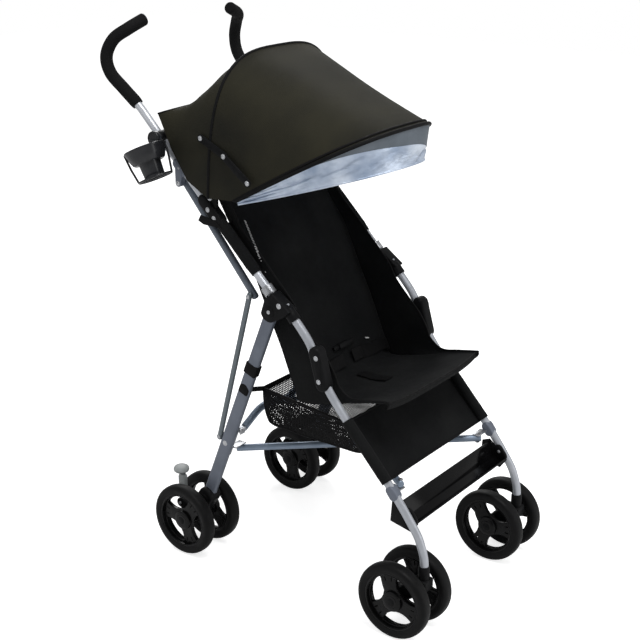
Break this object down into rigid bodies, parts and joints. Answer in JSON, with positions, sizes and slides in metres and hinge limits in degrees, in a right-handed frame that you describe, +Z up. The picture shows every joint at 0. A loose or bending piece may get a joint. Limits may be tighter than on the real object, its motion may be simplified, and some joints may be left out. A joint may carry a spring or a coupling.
{
  "type": "lightweight stroller",
  "caption": "Umbrella-fold stroller: two side frames joined by crossed bars and a folding brace, twin wheels on casters and rear legs, sling seat, folding hood, basket and cup holder.",
  "frame": {"origin": "Middle of the whole object's box in X and Y, on the floor that the wheels stand on.", "axes": "+Z up, -Y the way the stroller faces, +X the seated child's left."},
  "size_m": [0.5062, 0.7849, 1.0781],
  "materials": {
    "silver_paint": "satin light silver paint on round tube",
    "leg_grey_paint": "satin blue-grey paint on flat-oval tube",
    "link_grey_paint": "satin dark blue-grey paint",
    "zinc_plate": "bright zinc-plated pressed steel",
    "black_plastic": "fine matte black moulding",
    "dark_gloss_plastic": "glossy near-black moulding",
    "black_wheel": "black moulded wheel with a smooth soft tyre band",
    "black_foam": "matte closed-cell foam",
    "black_cloth": "woven black polyester",
    "hood_cloth": "black woven hood cloth with a satin silver lining",
    "pale_mesh": "open pale net with black binding",
    "brake_grey": "light grey moulding"
  },
  "bodies": {
    "frame_right": {"push_tube_right": "silver_paint", "handle_grip_right": "black_foam", "front_tube_right": "silver_paint", "knuckle_right": "black_plastic", "side_clip_right": "black_plastic", "link_plate_right": "zinc_plate", "bar_bracket_right": "zinc_plate", "footrest_bracket_right": "black_plastic", "hood_clip_right": "black_plastic", "seat_side_right": "black_cloth", "cup_clamp": "black_plastic"},
    "collar_right": {"lock_collar_right": "zinc_plate"},
    "link_right": {"side_link_right": "link_grey_paint"},
    "stay_right": {"leg_stay_right": "silver_paint"},
    "leg_right": {"rear_leg_right": "leg_grey_paint", "axle_housing_right": "black_plastic"},
    "brace_right": {"brace_half_right": "silver_paint"},
    "bar_right": {"cross_bar_right": "silver_paint"},
    "brake_right": {"brake_lever_right": "brake_grey"},
    "caster_right": {"caster_fork_right": "black_plastic"},
    "strut_rear_right": {"strut_rear_right": "black_plastic"},
    "strut_front_right": {"strut_front_right": "black_plastic"},
    "frame_left": {"push_tube_left": "silver_paint", "handle_grip_left": "black_foam", "front_tube_left": "silver_paint", "knuckle_left": "black_plastic", "side_clip_left": "black_plastic", "link_plate_left": "zinc_plate", "bar_bracket_left": "zinc_plate", "footrest_bracket_left": "black_plastic", "hood_clip_left": "black_plastic", "seat_side_left": "black_cloth"},
    "collar_left": {"lock_collar_left": "zinc_plate"},
    "link_left": {"side_link_left": "link_grey_paint"},
    "stay_left": {"leg_stay_left": "silver_paint"},
    "leg_left": {"rear_leg_left": "leg_grey_paint", "axle_housing_left": "black_plastic"},
    "brace_left": {"brace_half_left": "silver_paint"},
    "bar_left": {"cross_bar_left": "silver_paint"},
    "brake_left": {"brake_lever_left": "brake_grey"},
    "caster_left": {"caster_fork_left": "black_plastic"},
    "strut_rear_left": {"strut_rear_left": "black_plastic"},
    "strut_front_left": {"strut_front_left": "black_plastic"},
    "front_wheel_right_inner": {"front_wheel_right_inner": "black_wheel"},
    "front_wheel_right_outer": {"front_wheel_right_outer": "black_wheel"},
    "front_wheel_left_inner": {"front_wheel_left_inner": "black_wheel"},
    "front_wheel_left_outer": {"front_wheel_left_outer": "black_wheel"},
    "rear_wheel_right_inner": {"rear_wheel_right_inner": "black_wheel"},
    "rear_wheel_right_outer": {"rear_wheel_right_outer": "black_wheel"},
    "rear_wheel_left_inner": {"rear_wheel_left_inner": "black_wheel"},
    "rear_wheel_left_outer": {"rear_wheel_left_outer": "black_wheel"},
    "centre": {"seat_panel": "black_cloth", "calf_panel": "black_cloth", "basket": "pale_mesh", "footrest_band": "dark_gloss_plastic", "lap_buckle": "black_plastic", "hood_rear": "hood_cloth"},
    "cup": {"cup_holder": "dark_gloss_plastic"},
    "hood": {"hood_front": "hood_cloth", "hood_bow": "zinc_plate"}
  },
  "joints": [
    {"name": "frame_right_slide", "type": "slide", "parent": "centre", "child": "frame_right", "axis": [1, 0, 0], "range_m": [0, 0.055], "deforming": ["seat_side_right", "calf_panel", "footrest_band", "hood_rear", "hood_front", "hood_bow"]},
    {"name": "frame_left_slide", "type": "slide", "parent": "centre", "child": "frame_left", "axis": [-1, 0, 0], "range_m": [0, 0.0552], "deforming": ["seat_side_left", "calf_panel", "footrest_band", "hood_rear", "hood_front", "hood_bow"]},
    {"name": "leg_right_swing", "type": "hinge", "parent": "frame_right", "child": "leg_right", "pos_m": [-0.1551, -0.0125, 0.5645], "axis": [1, 0, 0], "range_deg": [0, 11.8]},
    {"name": "link_right_hinge", "type": "hinge", "parent": "frame_right", "child": "link_right", "pos_m": [-0.1436, 0.2075, 0.776], "axis": [1, 0, 0], "range_deg": [-2.91, 0]},
    {"name": "stay_right_hinge", "type": "hinge", "parent": "leg_right", "child": "stay_right", "pos_m": [-0.1574, 0.1255, 0.27], "axis": [1, 0, 0], "range_deg": [0, 1.05]},
    {"name": "bar_right_hinge", "type": "hinge", "parent": "frame_right", "child": "bar_right", "pos_m": [-0.1191, -0.2795, 0.274], "axis": [0.1998, -0.1131, 0.9733], "range_deg": [0, 15.76]},
    {"name": "brace_right_hinge", "type": "hinge", "parent": "leg_right", "child": "brace_right", "pos_m": [-0.1371, 0.088, 0.286], "axis": [0, -1, 0], "range_deg": [0, 49.13]},
    {"name": "caster_right_swivel", "type": "hinge", "parent": "frame_right", "child": "caster_right", "pos_m": [-0.1516, -0.358, 0.118], "axis": [0, 0, 1], "continuous": true},
    {"name": "collar_right_slide", "type": "slide", "parent": "frame_right", "child": "collar_right", "axis": [0, 0.7124, 0.7018], "range_m": [0, 0.015]},
    {"name": "brake_right_hinge", "type": "hinge", "parent": "leg_right", "child": "brake_right", "pos_m": [-0.1551, 0.2345, 0.088], "axis": [-1, 0, 0], "range_deg": [0, 25]},
    {"name": "front_wheel_right_inner_roll", "type": "hinge", "parent": "caster_right", "child": "front_wheel_right_inner", "pos_m": [-0.1148, -0.3175, 0.075], "axis": [1, 0, 0], "continuous": true},
    {"name": "front_wheel_right_outer_roll", "type": "hinge", "parent": "caster_right", "child": "front_wheel_right_outer", "pos_m": [-0.1884, -0.3175, 0.075], "axis": [1, 0, 0], "continuous": true},
    {"name": "rear_wheel_right_inner_roll", "type": "hinge", "parent": "leg_right", "child": "rear_wheel_right_inner", "pos_m": [-0.1164, 0.1967, 0.075], "axis": [1, 0, 0], "continuous": true},
    {"name": "rear_wheel_right_outer_roll", "type": "hinge", "parent": "leg_right", "child": "rear_wheel_right_outer", "pos_m": [-0.1938, 0.1967, 0.075], "axis": [1, 0, 0], "continuous": true},
    {"name": "leg_left_swing", "type": "hinge", "parent": "frame_left", "child": "leg_left", "pos_m": [0.2009, -0.0125, 0.5645], "axis": [1, 0, 0], "range_deg": [0, 11.8]},
    {"name": "link_left_hinge", "type": "hinge", "parent": "frame_left", "child": "link_left", "pos_m": [0.1894, 0.2075, 0.776], "axis": [1, 0, 0], "range_deg": [-2.91, 0]},
    {"name": "stay_left_hinge", "type": "hinge", "parent": "leg_left", "child": "stay_left", "pos_m": [0.2032, 0.1255, 0.27], "axis": [1, 0, 0], "range_deg": [0, 1.05]},
    {"name": "bar_left_hinge", "type": "hinge", "parent": "frame_left", "child": "bar_left", "pos_m": [0.1649, -0.2795, 0.258], "axis": [-0.1998, -0.1131, 0.9733], "range_deg": [-15.76, 0]},
    {"name": "brace_left_hinge", "type": "hinge", "parent": "leg_left", "child": "brace_left", "pos_m": [0.1829, 0.088, 0.286], "axis": [0, 1, 0], "range_deg": [0, 49.13]},
    {"name": "caster_left_swivel", "type": "hinge", "parent": "frame_left", "child": "caster_left", "pos_m": [0.1974, -0.358, 0.118], "axis": [0, 0, 1], "continuous": true},
    {"name": "collar_left_slide", "type": "slide", "parent": "frame_left", "child": "collar_left", "axis": [0, 0.7124, 0.7018], "range_m": [0, 0.015]},
    {"name": "brake_left_hinge", "type": "hinge", "parent": "leg_left", "child": "brake_left", "pos_m": [0.2009, 0.2345, 0.088], "axis": [-1, 0, 0], "range_deg": [0, 25]},
    {"name": "front_wheel_left_inner_roll", "type": "hinge", "parent": "caster_left", "child": "front_wheel_left_inner", "pos_m": [0.1606, -0.3175, 0.075], "axis": [1, 0, 0], "continuous": true},
    {"name": "front_wheel_left_outer_roll", "type": "hinge", "parent": "caster_left", "child": "front_wheel_left_outer", "pos_m": [0.2342, -0.3175, 0.075], "axis": [1, 0, 0], "continuous": true},
    {"name": "rear_wheel_left_inner_roll", "type": "hinge", "parent": "leg_left", "child": "rear_wheel_left_inner", "pos_m": [0.1622, 0.1967, 0.075], "axis": [1, 0, 0], "continuous": true},
    {"name": "rear_wheel_left_outer_roll", "type": "hinge", "parent": "leg_left", "child": "rear_wheel_left_outer", "pos_m": [0.2396, 0.1967, 0.075], "axis": [1, 0, 0], "continuous": true},
    {"name": "hood_hinge", "type": "hinge", "parent": "centre", "child": "hood", "pos_m": [0.0229, 0.1295, 0.76], "axis": [-1, 0, 0], "range_deg": [0, 60], "deforming": ["hood_front"]},
    {"name": "strut_rear_right_hinge", "type": "hinge", "parent": "frame_right", "child": "strut_rear_right", "pos_m": [-0.1694, 0.141, 0.872], "axis": [-1, 0, 0], "range_deg": [0, 114.55]},
    {"name": "strut_front_right_hinge", "type": "hinge", "parent": "strut_rear_right", "child": "strut_front_right", "pos_m": [-0.1722, 0.0835, 0.846], "axis": [1, 0, 0], "range_deg": [0, 147.05]},
    {"name": "strut_rear_left_hinge", "type": "hinge", "parent": "frame_left", "child": "strut_rear_left", "pos_m": [0.2152, 0.141, 0.872], "axis": [-1, 0, 0], "range_deg": [0, 114.55]},
    {"name": "strut_front_left_hinge", "type": "hinge", "parent": "strut_rear_left", "child": "strut_front_left", "pos_m": [0.218, 0.0835, 0.846], "axis": [1, 0, 0], "range_deg": [0, 147.05]},
    {"name": "cup_hinge", "type": "hinge", "parent": "frame_right", "child": "cup", "pos_m": [-0.1711, 0.2565, 0.85677], "axis": [1, 0, 0], "range_deg": [-10, 26]}
  ],
  "couplings": [
    {"joint": "frame_left_slide", "follows": "frame_right_slide", "ratio": 1},
    {"joint": "leg_right_swing", "follows": "frame_right_slide", "rad_per_m": 3.6969},
    {"joint": "link_right_hinge", "follows": "frame_right_slide", "rad_per_m": -0.87682},
    {"joint": "stay_right_hinge", "follows": "frame_right_slide", "rad_per_m": 0.28544},
    {"joint": "bar_right_hinge", "follows": "frame_right_slide", "rad_per_m": 4.9524},
    {"joint": "brace_right_hinge", "follows": "frame_right_slide", "rad_per_m": 15.543},
    {"joint": "leg_left_swing", "follows": "frame_right_slide", "rad_per_m": 3.6969},
    {"joint": "link_left_hinge", "follows": "frame_right_slide", "rad_per_m": -0.87682},
    {"joint": "stay_left_hinge", "follows": "frame_right_slide", "rad_per_m": 0.28544},
    {"joint": "bar_left_hinge", "follows": "frame_right_slide", "rad_per_m": -4.9524},
    {"joint": "brace_left_hinge", "follows": "frame_right_slide", "rad_per_m": 15.543},
    {"joint": "strut_rear_right_hinge", "follows": "hood_hinge", "ratio": 1.9067},
    {"joint": "strut_front_right_hinge", "follows": "hood_hinge", "ratio": 2.4483},
    {"joint": "strut_rear_left_hinge", "follows": "hood_hinge", "ratio": 1.9067},
    {"joint": "strut_front_left_hinge", "follows": "hood_hinge", "ratio": 2.4483}
  ]
}
